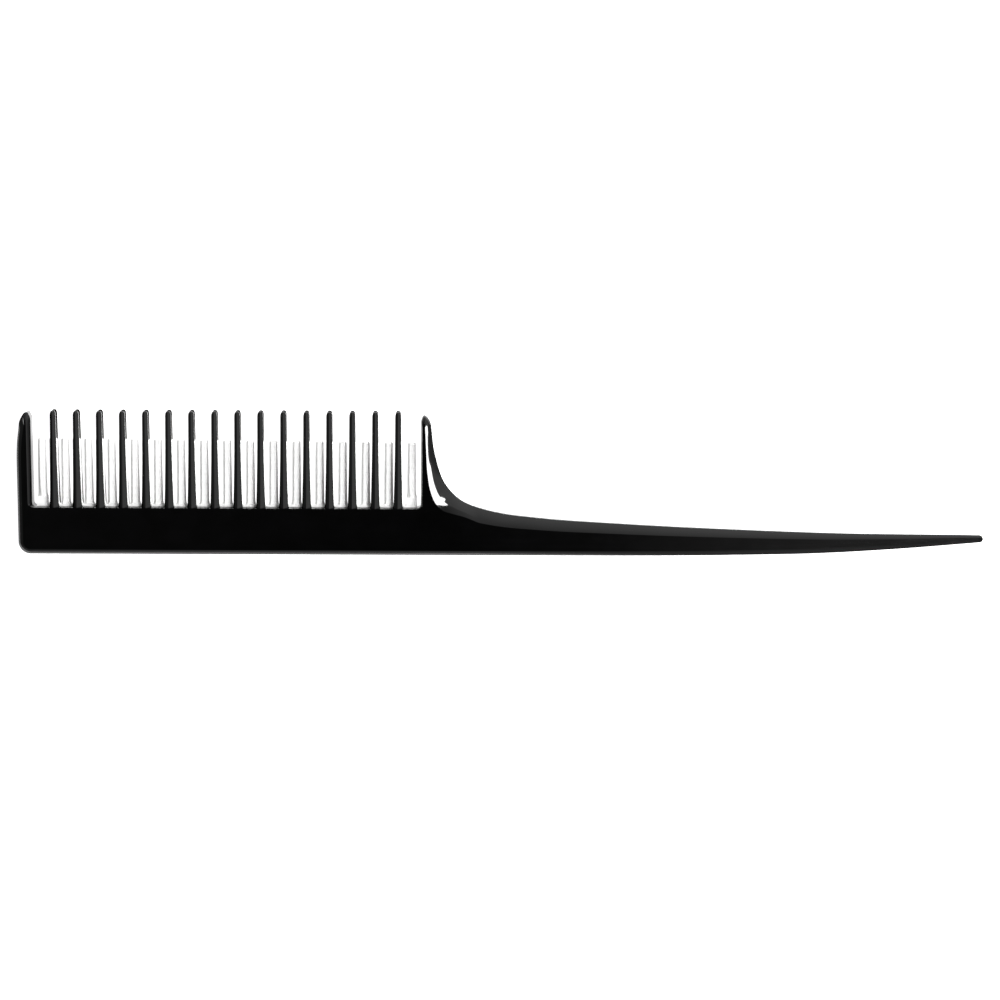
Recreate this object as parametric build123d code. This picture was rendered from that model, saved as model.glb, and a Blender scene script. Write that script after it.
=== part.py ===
from build123d import *
import os

# Rat tail comb with three rows of teeth, the middle one white and short. It lies on its
# back: X along the comb from the left guard tooth to the tip of the tail, Y up the teeth,
# Z through the thickness. It is drawn from its lower left corner and moved at the end,
# so that the origin is under the middle of its box. Millimetres.

# ---- driving dimensions: whole comb ----
COMB_LENGTH = 225.0
COMB_HEIGHT = 33.5          # bottom edge to the tips of the long teeth
THICKNESS = 5.0
MID_PLANE = THICKNESS / 2

# ---- bevels, as shares of half the thickness and of the bevel's width ----
EDGE_LEVEL = 0.24           # the outline is straight up to here
KNEE_LEVEL = 0.72           # a bevel on an outer edge changes slope here
KNEE_SHARE = 0.4

# ---- blade: spine and guard teeth ----
BLADE_END = 107.0           # where the spine turns into the tail
SPINE_HEIGHT = 11.1
CORNER_RADIUS = 2.8
SIDE_BEVEL = 1.2            # width of the bevel along the outer left edge
BOTTOM_BEVEL = 1.15
TIP_BEVEL = 0.8
INNER_BEVEL = 0.9           # on the guard teeth's edges that face the long teeth
LEFT_GUARD_WIDTH = 3.4
LEFT_GUARD_TIP = (2.5, 33.15)
LEFT_GUARD_BEND = (0.5, 28.5)    # the outer edge leans inwards from LEFT_TIP_OUTER_Y up
RIGHT_GUARD_START = 93.3
RIGHT_GUARD_TIP = (94.0, 32.75)
ROOT_RADIUS = 0.9           # where a guard tooth meets the spine
SPINE_START = LEFT_GUARD_WIDTH + ROOT_RADIUS
SPINE_END = RIGHT_GUARD_START - ROOT_RADIUS
UPPER_BEVEL_SHARE = 0.29    # the tail's upper bevel, share of its height
HORN_OUTLINE = [(107.0, 11.0), (102.6, 12.85), (99.2, 16.3), (96.7, 23.0), (95.7, 30.0)]
HORN_CREASE = [(107.0, 11.0 * (1 - UPPER_BEVEL_SHARE)), (102.2, 9.9), (98.2, 11.7),
               (95.4, 17.5), (94.5, 29.4)]

# ---- long teeth, front and rear row ----
LONG_COUNT = 16
LONG_PITCH = 5.3
FIRST_LONG_X = 8.5
LONG_ROOT_WIDTH = 2.1
LONG_TOP_WIDTH = 1.2
LONG_ROOT_DEPTH = 1.5
LONG_TOP_DEPTH = 1.0
LONG_LEAN = 0.55            # how far the outer faces lean in towards the tips
LONG_TIP_LENGTH = 0.9       # the rounded end of a long tooth

# ---- white short teeth and their rail ----
SHORT_COUNT = 2 * LONG_COUNT + 1    # one in every gap, and one between each two long teeth
SHORT_PITCH = 2.67
FIRST_SHORT_X = 5.68
SHORT_TOP_HEIGHT = 26.95    # above the bottom edge
SHORT_TOP_DROP = 0.7        # the last tooth is this much lower than the first
SHORT_ROOT_WIDTH = 2.1
SHORT_TOP_WIDTH = 1.85
SHORT_ROOT_DEPTH = 1.2
SHORT_TOP_DEPTH = 0.8
SHORT_TIP_LENGTH = 0.3
RAIL_TOP = SPINE_HEIGHT + 0.55
RAIL_FOOT = 7.1
END_WEB_TOP = 13.4          # the first and the last short tooth stand on a raised web
END_WEB_WIDTH = 2.4

# ---- tail ----
TAIL_TOP_POINTS = [(107.0, 11.0), (112.0, 9.8), (120.0, 8.8), (140.0, 7.4), (165.0, 6.2),
                   (190.0, 5.35), (224.2, 5.0)]
TAIL_BOTTOM_POINTS = [(107.0, 0.0), (140.0, 0.0), (165.0, 0.2), (187.0, 0.7), (205.0, 1.75),
                      (224.2, 3.3)]
TAIL_STATIONS = [107.0, 109.5, 112.0, 118.0, 128.0, 142.0, 158.0, 175.0, 190.0, 203.0, 214.0,
                 224.2]
TAIL_NOSE = [(224.2, 1.0), (224.75, 0.72), (225.0, 0.35)]    # place, share of the last section
TAIL_TIP_THICKNESS = 1.4
TAIL_THINNING = 1.3         # above 1, the tail starts to get thinner gradually
LOWER_BEVEL_SHARE = 0.30    # never more than this, of the tail's height

MARGIN = 1.0                # cutting blocks reach this far past the comb

# ---- where the guard teeth start to round off towards their tips ----
LEFT_TIP_OUTER_Y = 17.0
LEFT_TIP_INNER_Y = 30.9
RIGHT_TIP_INNER_Y = 30.8

os.makedirs("parts", exist_ok=True)


def mirrored(solid):
    """The same solid on the other side of the comb's middle plane."""
    return mirror(solid, about=Plane.XY.offset(MID_PLANE))


def between(first, last, share):
    """Point on the way from one point to another."""
    return tuple(a + (b - a) * share for a, b in zip(first, last))


def blade_edges(outer, inner):
    """Outline of spine and guard teeth, drawn in by shares of the outer and inner bevels."""
    left = SIDE_BEVEL * outer
    bottom = BOTTOM_BEVEL * outer
    corner = CORNER_RADIUS - left
    guard_right = LEFT_GUARD_WIDTH - INNER_BEVEL * inner
    guard_tip = (LEFT_GUARD_TIP[0], LEFT_GUARD_TIP[1] - TIP_BEVEL * outer)
    guard_bend = (LEFT_GUARD_BEND[0] + left, LEFT_GUARD_BEND[1])
    horn_side = [between(a, b, outer) for a, b in zip(HORN_OUTLINE, HORN_CREASE)]
    horn_left = RIGHT_GUARD_START + INNER_BEVEL * inner / 3
    horn_tip = (RIGHT_GUARD_TIP[0], RIGHT_GUARD_TIP[1] - TIP_BEVEL * outer)
    root_top = SPINE_HEIGHT + ROOT_RADIUS
    return [
        Line((left + corner, bottom), (BLADE_END, bottom)),
        Line((BLADE_END, bottom), horn_side[0]),
        Spline(*horn_side, tangents=[(-1, 0.33), (-0.1, 1)]),
        Spline(horn_side[-1], horn_tip, tangents=[(-0.1, 1), (-1, 0)]),
        Spline(horn_tip, (horn_left, RIGHT_TIP_INNER_Y), tangents=[(-1, 0), (0, -1)]),
        Line((horn_left, RIGHT_TIP_INNER_Y), (horn_left, root_top)),
        RadiusArc((horn_left, root_top), (horn_left - ROOT_RADIUS, SPINE_HEIGHT), ROOT_RADIUS),
        Line((horn_left - ROOT_RADIUS, SPINE_HEIGHT), (guard_right + ROOT_RADIUS, SPINE_HEIGHT)),
        RadiusArc((guard_right + ROOT_RADIUS, SPINE_HEIGHT), (guard_right, root_top), ROOT_RADIUS),
        Line((guard_right, root_top), (guard_right, LEFT_TIP_INNER_Y)),
        Spline((guard_right, LEFT_TIP_INNER_Y), guard_tip, tangents=[(0, 1), (-1, 0)]),
        Spline(guard_tip, guard_bend, (left, LEFT_TIP_OUTER_Y), tangents=[(-1, 0), (0, -1)]),
        Line((left, LEFT_TIP_OUTER_Y), (left, bottom + corner)),
        RadiusArc((left, bottom + corner), (left + corner, bottom), -corner),
    ]


def blade_face(outer, inner, level):
    """The outline as a face, at a level above the middle plane."""
    height = MID_PLANE * (1 + level)
    return make_face(blade_edges(outer, inner)).face().moved(Location((0, 0, height)))


def blade_solid():
    """Spine and guard teeth in one piece: an edge band with a bevelled half on each side."""
    band = extrude(blade_face(0, 0, -EDGE_LEVEL), amount=THICKNESS * EDGE_LEVEL, dir=(0, 0, 1))
    levels = [
        blade_face(0, 0, EDGE_LEVEL),
        blade_face(KNEE_SHARE, 0, KNEE_LEVEL),
        blade_face(1, 1, 1),
    ]
    front_half = loft(levels, ruled=True)
    return band + front_half + mirrored(front_half)


def block(corner, size):
    """Box from its lowest corner."""
    return Location(corner) * Box(*size, align=(Align.MIN, Align.MIN, Align.MIN))


def slice_of_blade(first_x, last_x):
    """Block that holds all of the blade between two places along it."""
    return block((first_x, -MARGIN, -MARGIN),
                 (last_x - first_x, COMB_HEIGHT + 2 * MARGIN, THICKNESS + 2 * MARGIN))


def spine_length_block(foot, height, depth):
    """Block about the middle plane, as long as the spine."""
    return block((SPINE_START, foot, MID_PLANE - depth / 2),
                 (SPINE_END - SPINE_START, height, depth))


def tooth_section(width, back, front, height, bevel):
    """Six-sided section of a long tooth, flat at the back and bevelled towards the front."""
    half = width / 2
    shoulder = back + (front - back) * 0.45
    points = [
        (-half, back),
        (half, back),
        (half, shoulder),
        (half - bevel, front),
        (bevel - half, front),
        (-half, shoulder),
    ]
    edges = []
    for place, point in enumerate(points):
        following = points[(place + 1) % len(points)]
        edges.append(Line((point[0], height, point[1]), (following[0], height, following[1])))
    return make_face(edges).face()


def front_long_tooth(centre_x):
    """One long tooth of the front row, with its flat back towards the white teeth."""
    back = THICKNESS - LONG_ROOT_DEPTH
    tip_front = THICKNESS - LONG_LEAN
    tip_back = tip_front - LONG_TOP_DEPTH
    rounded = COMB_HEIGHT - LONG_TIP_LENGTH
    sections = [
        tooth_section(LONG_ROOT_WIDTH, back, THICKNESS, SPINE_HEIGHT, 0.45),
        tooth_section(LONG_TOP_WIDTH, tip_back, tip_front, rounded, 0.3),
        tooth_section(LONG_TOP_WIDTH * 0.8, tip_back + 0.1, tip_front - 0.15, rounded + 0.5, 0.25),
        tooth_section(LONG_TOP_WIDTH * 0.4, tip_back + 0.3, tip_front - 0.35, COMB_HEIGHT, 0.1),
    ]
    return Location((centre_x, 0, 0)) * loft(sections, ruled=True)


def short_tooth(place):
    """One white tooth. The first and the last stand on the webs, the others on the rail."""
    centre_x = FIRST_SHORT_X + place * SHORT_PITCH
    foot = END_WEB_TOP if place in (0, SHORT_COUNT - 1) else RAIL_TOP
    top = SHORT_TOP_HEIGHT - SHORT_TOP_DROP * place / (SHORT_COUNT - 1)
    shoulder = top - SHORT_TIP_LENGTH
    sizes = [
        (foot, SHORT_ROOT_WIDTH, SHORT_ROOT_DEPTH),
        (shoulder, SHORT_TOP_WIDTH, SHORT_TOP_DEPTH),
        (top, SHORT_TOP_WIDTH - SHORT_TIP_LENGTH, SHORT_TOP_DEPTH / 2),
    ]
    sections = []
    for height, width, depth in sizes:
        level = Plane(origin=(centre_x, height, MID_PLANE), x_dir=(1, 0, 0), z_dir=(0, 1, 0))
        sections.append(level * Rectangle(width, depth))
    return loft(sections, ruled=True).solid()


def rail():
    """White strip in the spine's groove, with a web under the first and the last short tooth."""
    strip = spine_length_block(RAIL_FOOT, RAIL_TOP - RAIL_FOOT, SHORT_ROOT_DEPTH)
    last_x = FIRST_SHORT_X + (SHORT_COUNT - 1) * SHORT_PITCH
    for centre_x in (FIRST_SHORT_X, last_x):
        strip += block((centre_x - END_WEB_WIDTH / 2, RAIL_TOP, MID_PLANE - SHORT_ROOT_DEPTH / 2),
                       (END_WEB_WIDTH, END_WEB_TOP - RAIL_TOP, SHORT_ROOT_DEPTH))
    return strip


def height_on(curve, x):
    """Y of a curve in the XY plane where it crosses a place along the comb."""
    crossing = curve.intersect(Line((x, -COMB_HEIGHT), (x, COMB_HEIGHT)))
    return crossing[0].Y


def tail_section(x, top, bottom, half_thickness):
    """Twelve-sided section of the tail: two flats, two edges and four bevels with a knee."""
    upper = UPPER_BEVEL_SHARE * (top - bottom)
    lower = min(BOTTOM_BEVEL, LOWER_BEVEL_SHARE * (top - bottom))
    edge = half_thickness * EDGE_LEVEL
    knee = half_thickness * KNEE_LEVEL
    front = [
        (top, edge),
        (top - upper * KNEE_SHARE, knee),
        (top - upper, half_thickness),
        (bottom + lower, half_thickness),
        (bottom + lower * KNEE_SHARE, knee),
        (bottom, edge),
    ]
    rear = [(y, -z) for y, z in reversed(front)]
    outline = Polyline(*[(x, y, MID_PLANE + z) for y, z in front + rear], close=True)
    return make_face(outline).face()


def tail_handle():
    """The long tail, from the end of the spine to its rounded point."""
    top_curve = Spline(*TAIL_TOP_POINTS)
    bottom_curve = Spline(*TAIL_BOTTOM_POINTS)
    last_x = TAIL_STATIONS[-1]
    sections = []
    for x in TAIL_STATIONS:
        share = (x - BLADE_END) / (last_x - BLADE_END)
        half = (THICKNESS + (TAIL_TIP_THICKNESS - THICKNESS) * share ** TAIL_THINNING) / 2
        bottom = max(0.0, height_on(bottom_curve, x))
        sections.append(tail_section(x, height_on(top_curve, x), bottom, half))
    top, bottom = height_on(top_curve, last_x), height_on(bottom_curve, last_x)
    middle = (top + bottom) / 2
    half_height = (top - bottom) / 2
    nose_sections = []
    for x, size in TAIL_NOSE:
        reach = half_height * size
        nose_sections.append(
            tail_section(x, middle + reach, middle - reach, TAIL_TIP_THICKNESS / 2 * size))
    return loft(sections) + loft(nose_sections, ruled=True)


def short_teeth(gap):
    """The tooth in one gap, with the one between the long teeth that follow the gap."""
    places = range(2 * gap, min(2 * gap + 2, SHORT_COUNT))
    return Compound(children=[short_tooth(place) for place in places])


def all_parts():
    """Every node by name, in the drawing position."""
    blade = blade_solid()
    groove = spine_length_block(RAIL_FOOT, COMB_HEIGHT, SHORT_ROOT_DEPTH)
    nodes = {
        "left_guard_tooth": blade & slice_of_blade(-MARGIN, SPINE_START),
        "spine": (blade & slice_of_blade(SPINE_START, SPINE_END)) - groove,
        "right_guard_tooth": blade & slice_of_blade(SPINE_END, BLADE_END + MARGIN),
        "tail_handle": tail_handle(),
        "short_tooth_rail": rail(),
    }
    for number in range(LONG_COUNT):
        tooth = front_long_tooth(FIRST_LONG_X + number * LONG_PITCH)
        nodes[f"front_long_tooth_{number + 1:02d}"] = tooth
        nodes[f"rear_long_tooth_{number + 1:02d}"] = mirrored(tooth)
    for gap in range(LONG_COUNT + 1):
        nodes[f"short_teeth_{gap + 1:02d}"] = short_teeth(gap)
    return nodes


TO_ORIGIN = Location((-COMB_LENGTH / 2, -COMB_HEIGHT / 2, 0))
for name, shape in all_parts().items():
    export_step(shape.moved(TO_ORIGIN), f"parts/{name}.step")
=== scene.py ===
"""Looks of the rat tail comb: a refined mesh for every CAD node, two plastics, lights, camera."""
import math

import bmesh
import bpy
from mathutils import Euler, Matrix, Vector


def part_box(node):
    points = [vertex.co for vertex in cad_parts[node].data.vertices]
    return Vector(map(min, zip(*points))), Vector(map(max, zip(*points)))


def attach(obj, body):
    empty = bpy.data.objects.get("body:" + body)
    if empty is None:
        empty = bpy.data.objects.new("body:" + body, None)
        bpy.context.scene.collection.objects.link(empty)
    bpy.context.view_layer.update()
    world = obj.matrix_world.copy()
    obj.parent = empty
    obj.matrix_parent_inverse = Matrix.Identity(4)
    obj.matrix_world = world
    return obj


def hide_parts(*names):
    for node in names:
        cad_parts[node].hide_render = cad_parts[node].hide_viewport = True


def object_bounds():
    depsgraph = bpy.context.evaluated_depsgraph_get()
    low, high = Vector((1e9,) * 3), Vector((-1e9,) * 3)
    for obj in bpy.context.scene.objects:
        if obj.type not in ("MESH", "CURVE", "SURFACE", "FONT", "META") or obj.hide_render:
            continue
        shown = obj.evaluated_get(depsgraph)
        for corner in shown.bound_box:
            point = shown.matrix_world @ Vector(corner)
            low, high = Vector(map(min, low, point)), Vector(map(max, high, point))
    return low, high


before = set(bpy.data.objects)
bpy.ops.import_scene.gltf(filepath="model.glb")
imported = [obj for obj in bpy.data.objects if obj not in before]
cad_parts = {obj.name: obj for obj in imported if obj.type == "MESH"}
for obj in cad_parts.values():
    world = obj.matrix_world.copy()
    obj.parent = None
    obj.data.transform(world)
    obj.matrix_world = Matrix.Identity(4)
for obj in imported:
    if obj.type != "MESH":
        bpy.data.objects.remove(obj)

CAD_LOW, CAD_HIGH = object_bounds()
ORIGIN = Vector((CAD_LOW.x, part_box("spine")[0].y, CAD_LOW.z))
MM = 0.001

# ---- sizes in millimetres, from the comb's lower left corner ----
COMB_LENGTH = (CAD_HIGH.x - CAD_LOW.x) / MM
COMB_HEIGHT = (CAD_HIGH.y - ORIGIN.y) / MM
THICKNESS = (CAD_HIGH.z - CAD_LOW.z) / MM
MIDDLE = THICKNESS / 2
LONG_COUNT = len([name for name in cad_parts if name.startswith("front_long_tooth_")])


def drawn(point):
    """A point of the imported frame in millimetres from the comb's lower left corner."""
    return (point - ORIGIN) / MM


SPINE_START, SPINE_END = [drawn(corner).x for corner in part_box("spine")]
SPINE_HEIGHT = drawn(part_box("spine")[1]).y
BLADE_END = drawn(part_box("right_guard_tooth")[1]).x
RAIL_LOW, RAIL_HIGH = [drawn(corner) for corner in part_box("short_tooth_rail")]

# ---- blade ----
ROOT_RADIUS = 0.9           # at the foot of each guard tooth, on its inner side
LEFT_GUARD_WIDTH = SPINE_START - ROOT_RADIUS
RIGHT_GUARD_START = SPINE_END + ROOT_RADIUS
CORNER_RADIUS = 2.8
SIDE_BEVEL = 1.2
BOTTOM_BEVEL = 1.15
INNER_BEVEL = 0.9
FLOOR_BEVEL = 0.12          # the spine's upper edge is only slightly rounded
TAIL_START_SLOPE = -0.30

# ---- left guard tooth: outline and crease, point by point ----
LEFT_GUARD_TIP = (2.5, 33.15)
LEFT_SIDE = [(0.02, 17), (0.5, 28.5), (1.1, 31.6), LEFT_GUARD_TIP]
LEFT_SIDE_CREASE = [(SIDE_BEVEL, 17), (1.65, 28), (2.0, 30.0), (2.35, 31.5)]
LEFT_TIP = [LEFT_GUARD_TIP, (3.15, 32.35), (LEFT_GUARD_WIDTH, 30.1)]
LEFT_TIP_CREASE = [(2.35, 31.5), (2.46, 31.0), (LEFT_GUARD_WIDTH - INNER_BEVEL, 30.1)]
LEFT_TIP_MIX = 0.4          # how much the bevel at the tip is like the inner one

# ---- right guard tooth, broad like a horn ----
HORN_OUTLINE = [(107.0, 11.0), (102.6, 12.85), (99.2, 16.3), (96.7, 23.0), (95.7, 30.0)]
HORN_CREASE = [(107.0, 7.81), (103.4, 9.2), (100.8, 9.9), (98.4, 10.7), (96.7, 12.4),
               (95.6, 15.0), (94.85, 19.2), (94.5, 25.0), (94.3, 29.3)]
HORN_POINTS = 60            # in the outline and in the crease
SHOULDER_POINTS = 16        # the first of them, where the tail's bevel turns into the horn's
HORN_TIP = (94.0, 32.75)
HORN_CREASE_TIP = (94.1, HORN_TIP[1] - 1.6)
HORN_INNER_CREASE = RIGHT_GUARD_START + INNER_BEVEL / 3
HORN_TIP_RIGHT = [HORN_OUTLINE[-1], (95.0, 32.0), HORN_TIP]
HORN_TIP_RIGHT_CREASE = [HORN_CREASE[-1], (94.24, 30.4), HORN_CREASE_TIP]
HORN_TIP_LEFT = [HORN_TIP, (93.45, 32.05), (RIGHT_GUARD_START, 30.6)]
HORN_TIP_LEFT_CREASE = [HORN_CREASE_TIP, (93.8, 30.75), (HORN_INNER_CREASE, 30.0)]

# ---- bevels, in rows of points from the middle plane, 0, to the front face, 1 ----
ROWS = [0.24, 0.31, 0.42, 0.52, 0.62, 0.7, 0.76, 0.8, 0.845, 0.885, 0.92, 0.96, 1.0]
INNER_EDGE = 0.62           # the inner bevel starts above this level
WALL_ROW = 0.31             # the horn's straight outer wall ends here
FACET_ROW = 0.845           # its steep outer facet ends here
FACET_SHARE = 0.61          # and has come this far in
WALL_LOW = 0.10             # level of the wall's upper edge at the horn's foot
WALL_RISE = 0.53            # how much higher it is at the tip
KNEE_LOW = 0.79             # level of the edge between the two facets at the foot
KNEE_RISE = 0.13

# ---- long teeth ----
LONG_ROOT_WIDTH = 2.1
LONG_TOP_WIDTH = 1.35
LONG_ROOT_DEPTH = 1.5
LONG_TOP_DEPTH = 1.0
LONG_LEAN = 0.55
RIDGE_PLACE = -0.03         # the front ridge is left of the middle, share of the width
RIDGE_RISE = 0.38           # how far it stands in front of the sides, share of the width
RIDGE_BULGE = 0.002         # how much its right facet is rounded
LEFT_FACET_DROP = 0.46      # the left facet's middle, share of the way down; 0.5 would be flat
REAR_CHAMFER_WIDTH = 0.12   # shares of half the tooth's width
REAR_CHAMFER_DEPTH = 0.15
LONG_SETBACK = 0.02         # behind the spine's front face
LONG_FLARE = 0.35           # how much wider the root is at its foot
LONG_FLARE_HEIGHT = 0.8
LONG_STATIONS = [-0.25, 0.0, 0.12, 0.3, 0.6, 1.0, 1.6, 2.5, 4, 6, 8.5, 11, 13.5, 16, 18.5, 20]
LONG_TIP_LENGTH = 1.2
LONG_TIP_ANGLES = (18, 36, 52, 66, 78, 87)
LONG_TIP_POWER = 0.65       # below 1, the tip is blunter than round

# ---- short teeth ----
SHORT_WIDTH = 2.1
SHORT_NARROWING = 0.25      # from root to tip
SHORT_FLANK = 0.5           # each slanted side seen from the front
SHORT_ROOT_DEPTH = 1.2
SHORT_TOP_DEPTH = 0.8
SHORT_WAIST = 0.12          # half the depth of the straight sides between the flanks
LEAST_FACE = 0.06           # half the width that is left between the flanks at the least
SHORT_FLARE = 0.22
SHORT_FLARE_HEIGHT = 0.9
END_FLANK = 0.42            # the teeth on the webs have wider flanks at their foot
END_FLANK_HEIGHT = 4.5
SHORT_STATIONS = [0, 0.15, 0.35, 0.7, 1.2, 2, 4, 7, 10]
SHORT_TIP_LENGTH = 0.35
SHORT_TIP_ANGLES = (25, 50, 72, 86)
SHORT_TIP_THINNING = 0.45   # share of the depth that is lost at the tip
SHORT_TIP_NARROWING = 0.6   # the width loses this share of what the depth loses

# ---- rail ----
RAIL_RISE = 0.55            # above the spine
RAIL_EDGE = 0.12            # its bevelled edges
WEB_MARGIN = 0.15           # how far a web reaches past its tooth
WEB_LEFT_FOOT = [(-0.2, 0.0), (-0.05, 0.2), (0.0, 0.7)]
WEB_RIGHT_FOOT = [(0.0, 0.7), (0.05, 0.2), (0.25, 0.0)]

# ---- tail ----
TAIL_TOP = [(107.0, 11.0), (112.0, 9.8), (120.0, 8.8), (140.0, 7.4), (165.0, 6.2),
            (190.0, 5.35), (224.2, 5.0)]
TAIL_BOTTOM = [(107.0, 0.0), (140.0, 0.0), (165.0, 0.2), (187.0, 0.7), (205.0, 1.75),
               (224.2, 3.3)]
TAIL_NOSE_START = 224.1
TAIL_NOSE_POWER = 0.7       # below 1, the nose is blunter than round
TAIL_TIP_THICKNESS = 1.4
TAIL_THINNING = 1.3         # above 1, the tail starts to get thinner gradually
UPPER_BEVEL_SHARE = 0.29    # of the tail's height
LOWER_BEVEL_SHARE = 0.30

# ---- plastics: noise cells per metre ----
CLOUD_SCALE = 180
GLOSS_SCALE = 900
WAVE_SCALE = 140

# ---- camera, in metres and degrees ----
CAMERA_DISTANCE = 0.560
CAMERA_TILT = 9.4           # from straight above, towards the tips of the teeth
CAMERA_ROLL = 0.25
CAMERA_OFFSET_X = -0.013    # the camera stands left of the comb's middle
VIEW_WIDTH = 0.2319         # width seen at the comb's front face
AIM = Vector((-0.00085, -0.0035, THICKNESS * MM))

UP = (0, 1)
DOWN = (0, -1)
LEFT = (-1, 0)
RIGHT = (1, 0)


# ---------------------------------------------------------------- curves and profiles

def between(first, last, share):
    """Point on the way from one point to another."""
    return tuple(a + (b - a) * share for a, b in zip(first, last))


def smooth_height(points, x, first_slope=0.0):
    """Height at a place of the smooth curve through points that run along X."""
    def slope(index):
        if index == 0:
            return first_slope
        if index == len(points) - 1:
            (x0, y0), (x1, y1) = points[-2:]
            return (y1 - y0) / (x1 - x0)
        (x0, y0), (x1, y1), (x2, y2) = points[index - 1:index + 2]
        before = (y1 - y0) / (x1 - x0)
        after = (y2 - y1) / (x2 - x1)
        return (before * (x2 - x1) + after * (x1 - x0)) / (x2 - x0)

    for index in range(len(points) - 1):
        (x0, y0), (x1, y1) = points[index:index + 2]
        if x <= x1 or index == len(points) - 2:
            break
    span = x1 - x0
    t = (x - x0) / span
    return ((2 * t ** 3 - 3 * t ** 2 + 1) * y0 + (t ** 3 - 2 * t ** 2 + t) * span * slope(index)
            + (3 * t ** 2 - 2 * t ** 3) * y1 + (t ** 3 - t ** 2) * span * slope(index + 1))


def curve_through(points, first_direction, last_direction, steps):
    """Smooth planar curve through points, as a list of points without its last one."""
    knots = [Vector(point) for point in points]
    lengths = [(b - a).length for a, b in zip(knots, knots[1:])]
    tangents = [Vector(first_direction).normalized()]
    for index in range(1, len(knots) - 1):
        before = (knots[index] - knots[index - 1]) / lengths[index - 1]
        after = (knots[index + 1] - knots[index]) / lengths[index]
        total = lengths[index - 1] + lengths[index]
        tangents.append((before * lengths[index] + after * lengths[index - 1]) / total)
    tangents.append(Vector(last_direction).normalized())
    whole = sum(lengths)
    curve = []
    for number in range(steps):
        distance = whole * number / steps
        index = 0
        while distance > lengths[index]:
            distance -= lengths[index]
            index += 1
        t = distance / lengths[index]
        reach = lengths[index]
        curve.append(tuple(
            (2 * t ** 3 - 3 * t ** 2 + 1) * knots[index]
            + (t ** 3 - 2 * t ** 2 + t) * reach * tangents[index]
            + (3 * t ** 2 - 2 * t ** 3) * knots[index + 1]
            + (t ** 3 - t ** 2) * reach * tangents[index + 1]))
    return curve


def straight(first, last, steps):
    """Points along a straight line, without its last one."""
    return [between(first, last, number / steps) for number in range(steps)]


def arc(centre, radius_x, radius_y, first_angle, last_angle, steps):
    """Points along an elliptical arc, angles in degrees, without its last one."""
    points = []
    for number in range(steps):
        angle = math.radians(first_angle + (last_angle - first_angle) * number / steps)
        points.append((centre[0] + radius_x * math.cos(angle),
                       centre[1] + radius_y * math.sin(angle)))
    return points


def arc_share(rise, first_angle, last_angle):
    """How far in an arc-shaped bevel has come, for how far up it is, both from 0 to 1."""
    first = math.radians(first_angle)
    last = math.radians(last_angle)
    sine = math.sin(first) + rise * (math.sin(last) - math.sin(first))
    return (math.cos(first) - math.cos(math.asin(sine))) / (math.cos(first) - math.cos(last))


def bevel_share(level, edge_level, first_angle, last_angle):
    """Inset share of a bevel that starts above a straight edge."""
    if level <= edge_level:
        return 0.0
    return arc_share((level - edge_level) / (1 - edge_level), first_angle, last_angle)


def rounded_bevel(row):
    """The bevel along the left and the lower edge, as its inset share and its level."""
    return bevel_share(row, edge_level=0.62, first_angle=44, last_angle=58), row


def upper_bevel(row):
    """The bevel along the tail's upper edge."""
    return bevel_share(row, edge_level=0.24, first_angle=42, last_angle=62), row


def inner_bevel(row):
    """The narrow bevel on the edges that face the teeth."""
    return bevel_share(row, INNER_EDGE, first_angle=46, last_angle=60), row


def horn_bevel(height):
    """The horn's wide bevel at a height from 0 to 1 along it.

    A steep outer facet, then a flatter inner one. The higher up, the narrower the bevel, so it
    also starts higher, and both facets keep about the same slant.
    """
    wall = WALL_LOW + WALL_RISE * height
    knee = KNEE_LOW + KNEE_RISE * height

    def bevel(row):
        if row <= WALL_ROW:
            return 0.0, wall * row / WALL_ROW
        if row <= FACET_ROW:
            rise = (row - WALL_ROW) / (FACET_ROW - WALL_ROW)
            return FACET_SHARE * arc_share(rise, 50, 58), wall + (knee - wall) * rise
        rise = (row - FACET_ROW) / (1 - FACET_ROW)
        inset = FACET_SHARE + (1 - FACET_SHARE) * arc_share(rise, 70, 76)
        return inset, knee + (1 - knee) * rise

    return bevel


def blended(first, second, share):
    """A bevel part of the way from one bevel to another."""
    def bevel(row):
        return between(first(row), second(row), share)

    return bevel


# ---------------------------------------------------------------- meshes

def place(point):
    """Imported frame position, in metres, of a point in millimetres from the lower left corner."""
    return ORIGIN + Vector(point) * MM


def solid_through(name, loops, creases=(), sharp_angle=38):
    """Closed mesh through loops of equally many points. Loops listed as creases stay sharp."""
    form = bmesh.new()
    rings = [[form.verts.new(place(point)) for point in loop] for loop in loops]
    count = len(rings[0])
    for lower, upper in zip(rings, rings[1:]):
        for index in range(count):
            following = (index + 1) % count
            form.faces.new((lower[index], lower[following], upper[following], upper[index]))
    form.faces.new(list(reversed(rings[0])))
    form.faces.new(rings[-1])
    bmesh.ops.dissolve_degenerate(form, dist=1e-7, edges=form.edges)
    bmesh.ops.recalc_face_normals(form, faces=form.faces)
    crease_points = {vertex for index in creases for vertex in rings[index] if vertex.is_valid}
    for face in form.faces:
        face.smooth = True
    for edge in form.edges:
        bent = len(edge.link_faces) == 2 and edge.calc_face_angle() > math.radians(sharp_angle)
        creased = all(vertex in crease_points for vertex in edge.verts)
        edge.smooth = not (bent or creased)
    mesh = bpy.data.meshes.new(name)
    form.to_mesh(mesh)
    form.free()
    piece = bpy.data.objects.new(name, mesh)
    bpy.context.scene.collection.objects.link(piece)
    return piece


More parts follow.
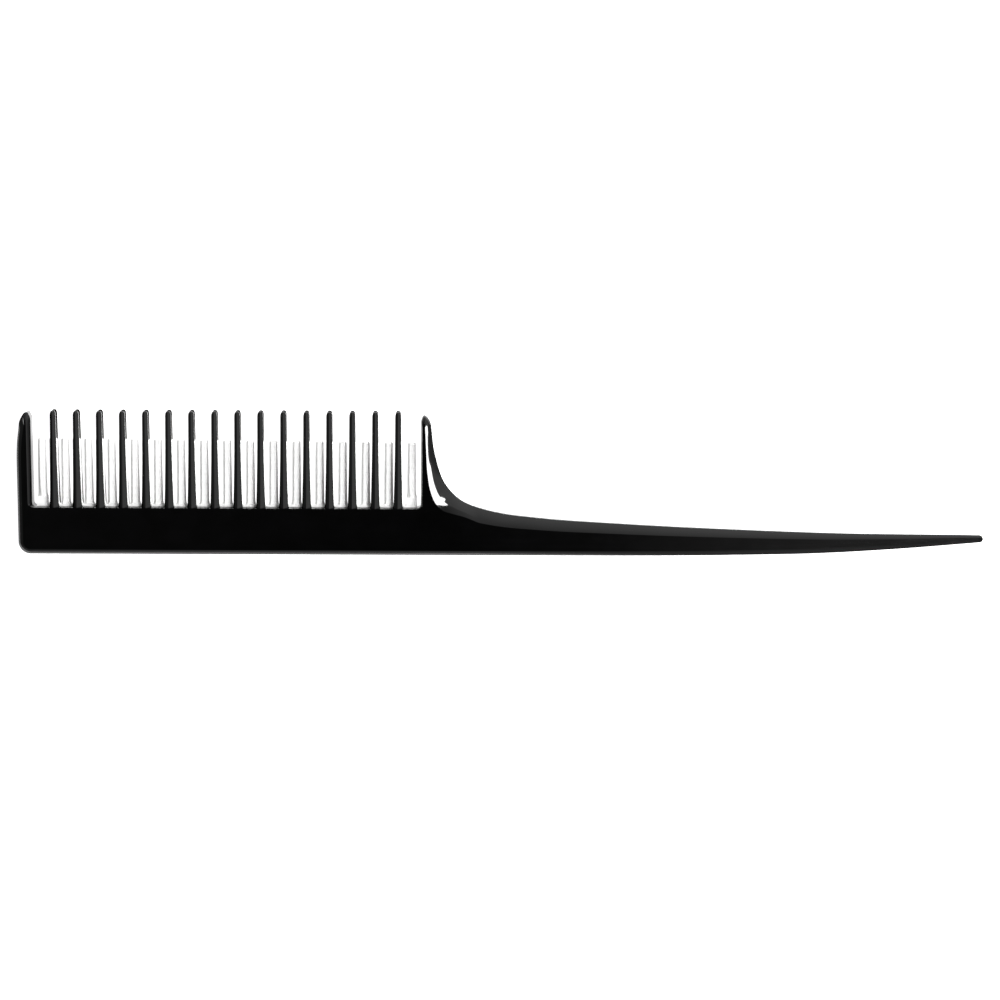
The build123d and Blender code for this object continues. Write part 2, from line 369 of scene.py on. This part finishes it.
def slab(name, outline, crease, bevels, crease_rows=(1.0,)):
    """A flat part with the same bevel on both sides, from its outline and its front crease.

    Each point of the outline has its own bevel. Rows listed as creases stay sharp.
    """
    def loop(row, side):
        points = []
        for edge_point, crease_point, bevel in zip(outline, crease, bevels):
            inset, level = bevel(row)
            height = MIDDLE * (1 + side * level)
            points.append((*between(edge_point, crease_point, inset), height))
        return points

    loops = [loop(row, -1) for row in reversed(ROWS)] + [loop(row, 1) for row in ROWS]
    fronts = [len(ROWS) + ROWS.index(row) for row in crease_rows]
    backs = [len(loops) - 1 - front for front in fronts]
    return solid_through(name, loops, creases=fronts + backs)


def left_guard():
    """Left guard tooth with the rounded lower corner and the start of the spine."""
    outline, crease, bevels = [], [], []

    def add(edge_points, crease_points, first, last):
        """Adds a stretch whose bevel changes evenly from the rounded (0) to the inner one (1)."""
        outline.extend(edge_points)
        crease.extend(crease_points)
        for number in range(len(edge_points)):
            share = first + (last - first) * number / len(edge_points)
            bevels.append(blended(rounded_bevel, inner_bevel, share))

    corner = CORNER_RADIUS
    root = SPINE_HEIGHT + ROOT_RADIUS
    corner_centre = (corner, corner)
    add(straight((SPINE_START, 0), (corner, 0), 3),
        straight((SPINE_START, BOTTOM_BEVEL), (corner, BOTTOM_BEVEL), 3), 0, 0)
    add(arc(corner_centre, corner, corner, 270, 180, 14),
        arc(corner_centre, corner - SIDE_BEVEL, corner - BOTTOM_BEVEL, 270, 180, 14), 0, 0)
    add(straight((0, corner), LEFT_SIDE[0], 5),
        straight((SIDE_BEVEL, corner), LEFT_SIDE_CREASE[0], 5), 0, 0)
    add(curve_through(LEFT_SIDE, UP, RIGHT, 30),
        curve_through(LEFT_SIDE_CREASE, UP, RIGHT, 30), 0, LEFT_TIP_MIX)
    add(curve_through(LEFT_TIP, RIGHT, DOWN, 12),
        curve_through(LEFT_TIP_CREASE, RIGHT, DOWN, 12), LEFT_TIP_MIX, 1)
    add(straight(LEFT_TIP[-1], (LEFT_GUARD_WIDTH, root), 8),
        straight(LEFT_TIP_CREASE[-1], (LEFT_GUARD_WIDTH - INNER_BEVEL, root), 8), 1, 1)
    root_centre = (SPINE_START, root)
    add(arc(root_centre, ROOT_RADIUS, ROOT_RADIUS, 180, 270, 10),
        arc(root_centre, ROOT_RADIUS + INNER_BEVEL, ROOT_RADIUS + FLOOR_BEVEL, 180, 270, 10),
        1, 1)
    add([(SPINE_START, SPINE_HEIGHT)], [(SPINE_START, SPINE_HEIGHT - FLOOR_BEVEL)], 1, 1)
    return slab("left_guard_tooth_surface", outline, crease, bevels)


def right_guard():
    """Right guard tooth, broad like a horn, with the shoulder that runs into the tail."""
    outline, crease, bevels = [], [], []

    def add(edge_points, crease_points, bevel_at):
        """Adds a stretch. The last argument gives the bevel for a share of the way along it."""
        outline.extend(edge_points)
        crease.extend(crease_points)
        for number in range(len(edge_points)):
            bevels.append(bevel_at(number / len(edge_points)))

    def same(bevel):
        """One bevel all the way along a stretch."""
        return lambda share: bevel

    def shoulder(share):
        return blended(upper_bevel, horn_bevel(0), share)

    def tip_right(share):
        return blended(horn_bevel(1), inner_bevel, 0.5 * share)

    def tip_left(share):
        return blended(horn_bevel(1), inner_bevel, 0.5 + 0.5 * share)

    root = SPINE_HEIGHT + ROOT_RADIUS
    add(straight((SPINE_END, 0), (BLADE_END, 0), 12),
        straight((SPINE_END, BOTTOM_BEVEL), (BLADE_END, BOTTOM_BEVEL), 12),
        same(rounded_bevel))
    add([(BLADE_END, 0)], [(BLADE_END, BOTTOM_BEVEL)], same(rounded_bevel))
    along_tail = (-1, -TAIL_START_SLOPE)
    outline_top = (-0.1, 1)
    crease_top = (-0.05, 1)
    horn = curve_through(HORN_OUTLINE, along_tail, outline_top, HORN_POINTS)
    horn_crease = curve_through(HORN_CREASE, along_tail, crease_top, HORN_POINTS)
    add(horn[:SHOULDER_POINTS], horn_crease[:SHOULDER_POINTS], shoulder)
    add(horn[SHOULDER_POINTS:], horn_crease[SHOULDER_POINTS:], horn_bevel)
    add(curve_through(HORN_TIP_RIGHT, outline_top, LEFT, 12),
        curve_through(HORN_TIP_RIGHT_CREASE, crease_top, (-1, 0.3), 12), tip_right)
    add(curve_through(HORN_TIP_LEFT, LEFT, DOWN, 10),
        curve_through(HORN_TIP_LEFT_CREASE, (-1, -0.3), DOWN, 10), tip_left)
    add(straight(HORN_TIP_LEFT[-1], (RIGHT_GUARD_START, root), 8),
        straight(HORN_TIP_LEFT_CREASE[-1], (HORN_INNER_CREASE, root), 8), same(inner_bevel))
    root_centre = (SPINE_END, root)
    add(arc(root_centre, ROOT_RADIUS, ROOT_RADIUS, 0, -90, 10),
        arc(root_centre, HORN_INNER_CREASE - SPINE_END, ROOT_RADIUS + FLOOR_BEVEL, 0, -90, 10),
        same(inner_bevel))
    add([(SPINE_END, SPINE_HEIGHT)], [(SPINE_END, SPINE_HEIGHT - FLOOR_BEVEL)],
        same(inner_bevel))
    return slab("right_guard_tooth_surface", outline, crease, bevels, (FACET_ROW, 1.0))


def spine():
    """Straight bar with a groove along its upper edge, drawn as a section from end to end."""
    front = []
    for row in ROWS:
        front.append((BOTTOM_BEVEL * rounded_bevel(row)[0], MIDDLE * (1 + row)))
    upper = []
    for row in ROWS:
        if row >= INNER_EDGE:
            inset = FLOOR_BEVEL * inner_bevel(row)[0]
            upper.append((SPINE_HEIGHT - inset, MIDDLE * (1 + row)))
    lip = RAIL_HIGH.z
    half = front + list(reversed(upper)) + [(SPINE_HEIGHT, lip), (RAIL_LOW.y, lip)]
    rear = [(y, THICKNESS - z) for y, z in reversed(half)]
    section = half + rear
    creases = [(y, z) for y, z in section if z in (THICKNESS, 0.0)]
    steps = 24
    loops = []
    for number in range(steps + 1):
        x = SPINE_START + (SPINE_END - SPINE_START) * number / steps
        loops.append([(x, y, z) for y, z in section])
    piece = solid_through("spine_surface", loops, sharp_angle=30)
    keep_rows_sharp(piece, creases)
    return piece


def keep_rows_sharp(piece, creases):
    """Marks the long edges at these points of a section as sharp."""
    heights = {(round(y, 3), round(z, 3)) for y, z in creases}
    mesh = piece.data
    for edge in mesh.edges:
        first, last = [drawn(mesh.vertices[index].co) for index in edge.vertices]
        same = abs(first.y - last.y) < 1e-3 and abs(first.z - last.z) < 1e-3
        if same and (round(first.y, 3), round(first.z, 3)) in heights:
            edge.use_edge_sharp = True


def tail_section(x, top, bottom, half_thickness):
    """Section of the tail: two flats, two straight edges and four rounded bevels."""
    upper = UPPER_BEVEL_SHARE * (top - bottom)
    lower = min(BOTTOM_BEVEL, LOWER_BEVEL_SHARE * (top - bottom))
    front = []
    for row in ROWS:
        front.append((x, top - upper * upper_bevel(row)[0], MIDDLE + half_thickness * row))
    for row in reversed(ROWS):
        front.append((x, bottom + lower * rounded_bevel(row)[0], MIDDLE + half_thickness * row))
    rear = [(x, y, THICKNESS - z) for x, y, z in reversed(front)]
    return front + rear


def tail_handle():
    """The long tail, from the end of the blade to its rounded point."""
    steps = 90
    loops = []
    for number in range(steps + 1):
        share = number / steps
        x = BLADE_END + (TAIL_NOSE_START - BLADE_END) * share ** 1.15
        loops.append(tail_section(x, *tail_sizes(x)))
    top, bottom, half = tail_sizes(TAIL_NOSE_START)
    middle = (top + bottom) / 2
    nose_length = COMB_LENGTH - TAIL_NOSE_START
    nose_steps = 12
    whole_turn = math.radians(90 * nose_steps / (nose_steps + 0.5))
    for number in range(1, nose_steps + 1):
        angle = math.radians(90 * number / (nose_steps + 0.5))
        x = TAIL_NOSE_START + nose_length * math.sin(angle) / math.sin(whole_turn)
        reach = (top - bottom) / 2 * math.cos(angle) ** TAIL_NOSE_POWER
        loops.append(tail_section(x, middle + reach, middle - reach, half))
    piece = solid_through("tail_handle_surface", loops, sharp_angle=40)
    row_count = len(ROWS)
    crease_rows = [row_count - 1, row_count, 3 * row_count - 1, 3 * row_count]
    keep_loop_rows_sharp(piece, 4 * row_count, crease_rows)
    return piece


def tail_sizes(x):
    """Top, bottom and half thickness of the tail at a place along it."""
    share = (x - BLADE_END) / (TAIL_TOP[-1][0] - BLADE_END)
    return (smooth_height(TAIL_TOP, x, TAIL_START_SLOPE),
            max(0.0, smooth_height(TAIL_BOTTOM, x)),
            (THICKNESS + (TAIL_TIP_THICKNESS - THICKNESS) * share ** TAIL_THINNING) / 2)


def keep_loop_rows_sharp(piece, row_count, rows):
    """Marks the edges that join the same point of neighbouring loops, in these rows."""
    mesh = piece.data
    for edge in mesh.edges:
        first, last = sorted(edge.vertices)
        if last - first == row_count and first % row_count in rows:
            edge.use_edge_sharp = True


def long_tooth_section(height, width, back, front):
    """Section of a long tooth: flat back, and a front ridge with a facet on each side."""
    half = width / 2
    ridge = RIDGE_PLACE * width
    shoulder = front - RIDGE_RISE * width
    points = [
        (-half * (1 - REAR_CHAMFER_WIDTH), back),
        (half * (1 - REAR_CHAMFER_WIDTH), back),
        (half, back + half * REAR_CHAMFER_DEPTH),
        (half, shoulder),
    ]
    for share in (0.25, 0.5, 0.75):
        bulge = RIDGE_BULGE * width * math.sin(math.pi * share)
        points.append((half + (ridge - half) * share + bulge,
                       shoulder + (front - shoulder) * share + bulge))
    points += [
        (ridge, front),
        (ridge - (half + ridge) * 0.5, front - (front - shoulder) * LEFT_FACET_DROP),
        (-half, shoulder),
        (-half, back + half * REAR_CHAMFER_DEPTH),
    ]
    return [(x, height, z) for x, z in points]


def long_tooth(name, centre_x, at_front):
    """One long tooth of the front or the rear row, flared at its root and rounded at its tip."""
    length = COMB_HEIGHT - SPINE_HEIGHT
    tip_start = length - LONG_TIP_LENGTH
    loops = []
    for rise in LONG_STATIONS + [tip_start]:
        loops.append(long_tooth_at(rise, length, 1.0))
    whole_turn = math.radians(LONG_TIP_ANGLES[-1])
    for angle in LONG_TIP_ANGLES:
        turn = math.radians(angle)
        rise = tip_start + LONG_TIP_LENGTH * math.sin(turn) / math.sin(whole_turn)
        loops.append(long_tooth_at(rise, length, math.cos(turn) ** LONG_TIP_POWER))
    if not at_front:
        loops = [[(x, y, THICKNESS - z) for x, y, z in loop] for loop in loops]
    loops = [[(centre_x + x, y, z) for x, y, z in loop] for loop in loops]
    return solid_through(name, loops, sharp_angle=40)


def long_tooth_at(rise, length, size):
    """Section of a front long tooth at a height above the spine, scaled about its middle."""
    share = max(rise, 0) / length
    flare = LONG_FLARE * max(0.0, 1 - max(rise, 0) / LONG_FLARE_HEIGHT) ** 2
    grown = (1 - share) ** 2
    width = LONG_TOP_WIDTH + (LONG_ROOT_WIDTH - LONG_TOP_WIDTH) * grown + flare
    front = THICKNESS - LONG_LEAN * share - LONG_SETBACK
    depth = LONG_ROOT_DEPTH + (LONG_TOP_DEPTH - LONG_ROOT_DEPTH) * share
    middle = front - depth * 0.5
    return long_tooth_section(SPINE_HEIGHT + rise, width * size,
                              middle - depth / 2 * size, middle + depth / 2 * size)


def short_tooth_loops(low, high, on_web):
    """Loops of one short tooth: a flat front and back with slanted flanks between them."""
    length = high.y - low.y
    tip_start = length - SHORT_TIP_LENGTH
    centre = (low.x + high.x) / 2
    loops = []
    for rise in SHORT_STATIONS:
        if rise < tip_start - 0.5:
            loops.append(short_section(centre, low.y, rise, length, 1.0, on_web))
    loops.append(short_section(centre, low.y, tip_start, length, 1.0, on_web))
    whole_turn = math.radians(SHORT_TIP_ANGLES[-1])
    for angle in SHORT_TIP_ANGLES:
        turn = math.radians(angle)
        rise = tip_start + SHORT_TIP_LENGTH * math.sin(turn) / math.sin(whole_turn)
        size = 1 - SHORT_TIP_THINNING * (1 - math.cos(turn))
        loops.append(short_section(centre, low.y, rise, length, size, on_web))
    return loops


def short_section(centre, foot, rise, length, size, on_web):
    """Eight-sided section of a short tooth at a height above its foot."""
    share = rise / length
    width = SHORT_WIDTH - SHORT_NARROWING * share
    depth = (SHORT_ROOT_DEPTH + (SHORT_TOP_DEPTH - SHORT_ROOT_DEPTH) * share) * size
    flare = SHORT_FLARE * max(0.0, 1 - rise / SHORT_FLARE_HEIGHT) ** 2
    flank = SHORT_FLANK
    if on_web:
        flank += END_FLANK * max(0.0, 1 - rise / END_FLANK_HEIGHT) ** 2
    half = width / 2 * (1 - (1 - size) * SHORT_TIP_NARROWING) + flare
    face = max(half - flank, LEAST_FACE)
    points = [
        (-half, -SHORT_WAIST), (-face, -depth / 2), (face, -depth / 2), (half, -SHORT_WAIST),
        (half, SHORT_WAIST), (face, depth / 2), (-face, depth / 2), (-half, SHORT_WAIST),
    ]
    return [(centre + x, foot + rise, MIDDLE + z) for x, z in points]


def short_teeth(node, number):
    """The short teeth of one node, in one mesh."""
    teeth = []
    for count, (low, high) in enumerate(node_islands(node)):
        first_tooth = number == 1 and count == 0
        last_tooth = number == LONG_COUNT + 1
        loops = short_tooth_loops(low, high, first_tooth or last_tooth)
        teeth.append(solid_through(f"{node}_part_{count}", loops, sharp_angle=28))
    return joined(f"{node}_surface", teeth)


def node_islands(node):
    """Lowest and highest corner of each separate solid of a CAD node, from left to right."""
    form = bmesh.new()
    form.from_mesh(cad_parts[node].data)
    bmesh.ops.remove_doubles(form, verts=form.verts, dist=1e-6)
    waiting = set(form.verts)
    boxes = []
    while waiting:
        found = [waiting.pop()]
        for vertex in found:
            for edge in vertex.link_edges:
                other = edge.other_vert(vertex)
                if other in waiting:
                    waiting.discard(other)
                    found.append(other)
        points = [drawn(vertex.co) for vertex in found]
        low = Vector([min(point[axis] for point in points) for axis in range(3)])
        high = Vector([max(point[axis] for point in points) for axis in range(3)])
        boxes.append((low, high))
    form.free()
    return sorted(boxes, key=lambda pair: pair[0].x)


def joined(name, pieces):
    """One object with the meshes of several."""
    form = bmesh.new()
    for piece in pieces:
        form.from_mesh(piece.data)
    mesh = bpy.data.meshes.new(name)
    form.to_mesh(mesh)
    form.free()
    for piece in pieces:
        old = piece.data
        bpy.data.objects.remove(piece)
        bpy.data.meshes.remove(old)
    result = bpy.data.objects.new(name, mesh)
    bpy.context.scene.collection.objects.link(result)
    return result


def short_rail():
    """Rail of the short teeth, with a web under the first and the last one."""
    low, high = RAIL_LOW, RAIL_HIGH
    rail_top = SPINE_HEIGHT + RAIL_RISE
    first_tooth = node_islands("short_teeth_01")[0]
    last_tooth = node_islands(f"short_teeth_{LONG_COUNT + 1:02d}")[-1]
    profile = [(low.x, low.y), (low.x, rail_top)]
    for tooth_low, tooth_high in (first_tooth, last_tooth):
        left = tooth_low.x - WEB_MARGIN
        right = tooth_high.x + WEB_MARGIN
        profile += [(left + x, rail_top + y) for x, y in WEB_LEFT_FOOT]
        profile += [(left, tooth_low.y), (right, tooth_low.y)]
        profile += [(right + x, rail_top + y) for x, y in WEB_RIGHT_FOOT]
    profile += [(high.x, rail_top), (high.x, low.y)]
    loops = []
    for depth, shrink in ((low.z, RAIL_EDGE), (low.z + RAIL_EDGE, 0),
                          (high.z - RAIL_EDGE, 0), (high.z, RAIL_EDGE)):
        loops.append([(min(max(x, low.x), high.x), y - (shrink if y > low.y else 0), depth)
                      for x, y in profile])
    return solid_through("short_tooth_rail_surface", loops, sharp_angle=28)


# ---------------------------------------------------------------- materials

def noise(nodes, links, vector, scale, detail):
    """A noise texture on a vector."""
    texture = nodes.new("ShaderNodeTexNoise")
    texture.inputs["Scale"].default_value = scale
    texture.inputs["Detail"].default_value = detail
    links.new(vector, texture.inputs["Vector"])
    return texture.outputs["Fac"]


def ranged(nodes, links, value, low, high):
    """Maps 0.3 to 0.7, where noise mostly lies, to a range of values."""
    mapping = nodes.new("ShaderNodeMapRange")
    mapping.inputs["From Min"].default_value = 0.3
    mapping.inputs["From Max"].default_value = 0.7
    mapping.inputs["To Min"].default_value = low
    mapping.inputs["To Max"].default_value = high
    links.new(value, mapping.inputs["Value"])
    return mapping.outputs["Result"]


def new_plastic(name, dark, light, smooth, rough, ior, wave_height):
    """Moulded plastic: faint clouding of the colour, uneven gloss and a slightly wavy skin."""
    material = bpy.data.materials.new(name)
    material.use_nodes = True
    nodes = material.node_tree.nodes
    links = material.node_tree.links
    shader = nodes["Principled BSDF"]
    shader.inputs["IOR"].default_value = ior
    position = nodes.new("ShaderNodeTexCoord").outputs["Object"]

    clouds = nodes.new("ShaderNodeMix")
    clouds.data_type = "RGBA"
    clouds.inputs["A"].default_value = (*dark, 1)
    clouds.inputs["B"].default_value = (*light, 1)
    cloudiness = noise(nodes, links, position, CLOUD_SCALE, 3)
    links.new(ranged(nodes, links, cloudiness, 0, 1), clouds.inputs["Factor"])
    links.new(clouds.outputs["Result"], shader.inputs["Base Color"])

    stretch = nodes.new("ShaderNodeMapping")
    stretch.inputs["Scale"].default_value = (0.12, 1.0, 1.0)
    links.new(position, stretch.inputs["Vector"])
    gloss = noise(nodes, links, stretch.outputs["Vector"], GLOSS_SCALE, 5)
    links.new(ranged(nodes, links, gloss, smooth, rough), shader.inputs["Roughness"])

    skin = nodes.new("ShaderNodeBump")
    skin.inputs["Strength"].default_value = 1.0
    skin.inputs["Distance"].default_value = wave_height
    links.new(noise(nodes, links, position, WAVE_SCALE, 2), skin.inputs["Height"])
    links.new(skin.outputs["Normal"], shader.inputs["Normal"])
    return material


def black_plastic():
    """Polished black moulding."""
    return new_plastic("black_plastic_finish",
                       dark=(0.0004, 0.0004, 0.0004), light=(0.0009, 0.0009, 0.0010),
                       smooth=0.04, rough=0.08, ior=1.5, wave_height=0.00002)


def white_plastic():
    """Glossy white moulding."""
    return new_plastic("white_plastic_finish",
                       dark=(0.80, 0.80, 0.79), light=(0.87, 0.87, 0.865),
                       smooth=0.22, rough=0.34, ior=1.46, wave_height=0.00001)


# ---------------------------------------------------------------- stage, lights and camera

def white_floor():
    """Plain white floor that glows, as a light table does."""
    form = bmesh.new()
    bmesh.ops.create_grid(form, x_segments=1, y_segments=1, size=4.0)
    mesh = bpy.data.meshes.new("floor")
    form.to_mesh(mesh)
    form.free()
    floor = bpy.data.objects.new("floor", mesh)
    bpy.context.scene.collection.objects.link(floor)
    floor.location = (0, 0, CAD_LOW.z - 0.0002)
    material = bpy.data.materials.new("floor_finish")
    material.use_nodes = True
    nodes = material.node_tree.nodes
    shader = nodes["Principled BSDF"]
    shader.inputs["Base Color"].default_value = (0.9, 0.9, 0.9, 1)
    shader.inputs["Roughness"].default_value = 0.9
    shader.inputs["Specular IOR Level"].default_value = 0.0
    shader.inputs["Emission Color"].default_value = (1, 1, 1, 1)
    shader.inputs["Emission Strength"].default_value = 0.98
    mesh.materials.append(material)


def studio_world():
    """Dark overhead, and brighter to the right and beyond the tips of the teeth."""
    world = bpy.data.worlds.new("studio")
    bpy.context.scene.world = world
    world.use_nodes = True
    nodes = world.node_tree.nodes
    links = world.node_tree.links
    background = nodes["Background"]
    background.inputs["Color"].default_value = (1, 1, 1, 1)
    direction = nodes.new("ShaderNodeTexCoord").outputs["Generated"]
    parts = nodes.new("ShaderNodeSeparateXYZ")
    links.new(direction, parts.inputs["Vector"])
    sides = level_ramp(nodes, links, parts.outputs["X"],
                       [(-1.0, 0.15), (-0.3, 0.05), (0.0, 0.005), (0.09, 0.04), (0.18, 0.24),
                        (0.3, 0.3), (0.75, 0.9), (0.93, 0.9), (0.97, 0.4), (1.0, 0.3)])
    ends = level_ramp(nodes, links, parts.outputs["Y"],
                      [(-1.0, 0.7), (-0.97, 0.3), (-0.5, 0.05), (-0.3, 0.0), (0.3, 0.05),
                       (0.7, 0.45), (1.0, 1.0)])
    total = nodes.new("ShaderNodeMath")
    total.operation = "ADD"
    links.new(sides, total.inputs[0])
    links.new(ends, total.inputs[1])
    links.new(total.outputs["Value"], background.inputs["Strength"])


def level_ramp(nodes, links, value, stops):
    """Brightness that goes linearly through (position, level) stops, positions from -1 to 1."""
    highest = max(level for _, level in stops)
    mapping = nodes.new("ShaderNodeMapRange")
    mapping.inputs["From Min"].default_value = -1
    mapping.inputs["From Max"].default_value = 1
    links.new(value, mapping.inputs["Value"])
    ramp = nodes.new("ShaderNodeValToRGB")
    links.new(mapping.outputs["Result"], ramp.inputs["Fac"])
    elements = ramp.color_ramp.elements
    while len(elements) < len(stops):
        elements.new(0.5)
    for element, (position, level) in zip(elements, stops):
        element.position = (position + 1) / 2
        element.color = (level / highest,) * 3 + (1,)
    scale = nodes.new("ShaderNodeMath")
    scale.operation = "MULTIPLY"
    scale.inputs[1].default_value = highest
    links.new(ramp.outputs["Color"], scale.inputs[0])
    return scale.outputs["Value"]


def soft_box(name, tilt_x, tilt_y, distance, width, length, radiance, for_gloss, for_diffuse):
    """Rectangular light aimed at the comb, tilted from overhead towards +X and +Y, in degrees.

    Its width is in the direction of the tilt, and its length about along Y.
    """
    light = bpy.data.lights.new(name, "AREA")
    light.shape = "RECTANGLE"
    light.size = length
    light.size_y = width
    light.energy = radiance * math.pi * width * length
    lamp = bpy.data.objects.new(name, light)
    bpy.context.scene.collection.objects.link(lamp)
    slant_x = math.tan(math.radians(tilt_x))
    slant_y = math.tan(math.radians(tilt_y))
    towards = Vector((slant_x, slant_y, 1)).normalized()
    lamp.location = towards * distance
    lamp.rotation_euler = towards.to_track_quat("Z", "Y").to_euler()
    lamp.visible_glossy = for_gloss
    lamp.visible_diffuse = for_diffuse
    lamp.visible_camera = False


def studio_lights():
    """A strong box to the right for highlights, and an even key for the diffuse light."""
    soft_box("right_box", tilt_x=33, tilt_y=-3.2, distance=2.5, width=1.15, length=2.85,
             radiance=30, for_gloss=True, for_diffuse=False)
    soft_box("key_box", tilt_x=42, tilt_y=10, distance=2.5, width=1.3, length=2.8,
             radiance=9.5, for_gloss=False, for_diffuse=True)


def camera():
    """Long lens almost straight above the comb, turned to frame its whole length."""
    lens_data = bpy.data.cameras.new("camera")
    view = bpy.data.objects.new("camera", lens_data)
    bpy.context.scene.collection.objects.link(view)
    bpy.context.scene.camera = view
    tilt = math.radians(CAMERA_TILT)
    view.location = (CAMERA_OFFSET_X, AIM.y + CAMERA_DISTANCE * math.sin(tilt),
                     AIM.z + CAMERA_DISTANCE * math.cos(tilt))
    turn = math.atan((AIM.x - CAMERA_OFFSET_X) / CAMERA_DISTANCE)
    view.rotation_euler = (Euler((-tilt, 0, 0)).to_matrix()
                           @ Euler((0, -turn, 0)).to_matrix()
                           @ Euler((0, 0, math.radians(CAMERA_ROLL))).to_matrix()).to_euler()
    lens_data.sensor_width = 36
    lens_data.lens = lens_data.sensor_width * CAMERA_DISTANCE / VIEW_WIDTH
    lens_data.clip_start = 0.01
    lens_data.clip_end = 20


# ---------------------------------------------------------------- the comb

def finish_piece(piece, node, material):
    """Gives a piece its material and body, and lets it stand for its CAD node."""
    piece.data.materials.clear()
    piece.data.materials.append(material)
    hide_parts(node)
    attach(piece, "root")


def comb():
    """Every piece of the comb, one for each CAD node."""
    black = black_plastic()
    white = white_plastic()
    finish_piece(left_guard(), "left_guard_tooth", black)
    finish_piece(right_guard(), "right_guard_tooth", black)
    finish_piece(spine(), "spine", black)
    finish_piece(tail_handle(), "tail_handle", black)
    for number in range(1, LONG_COUNT + 1):
        for row in ("front", "rear"):
            node = f"{row}_long_tooth_{number:02d}"
            low, high = [drawn(corner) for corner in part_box(node)]
            tooth = long_tooth(f"{node}_surface", (low.x + high.x) / 2, row == "front")
            finish_piece(tooth, node, black)
    finish_piece(short_rail(), "short_tooth_rail", white)
    for number in range(1, LONG_COUNT + 2):
        node = f"short_teeth_{number:02d}"
        finish_piece(short_teeth(node, number), node, white)


camera()
comb()
white_floor()
studio_world()
studio_lights()
bpy.context.scene.view_settings.view_transform = "Standard"
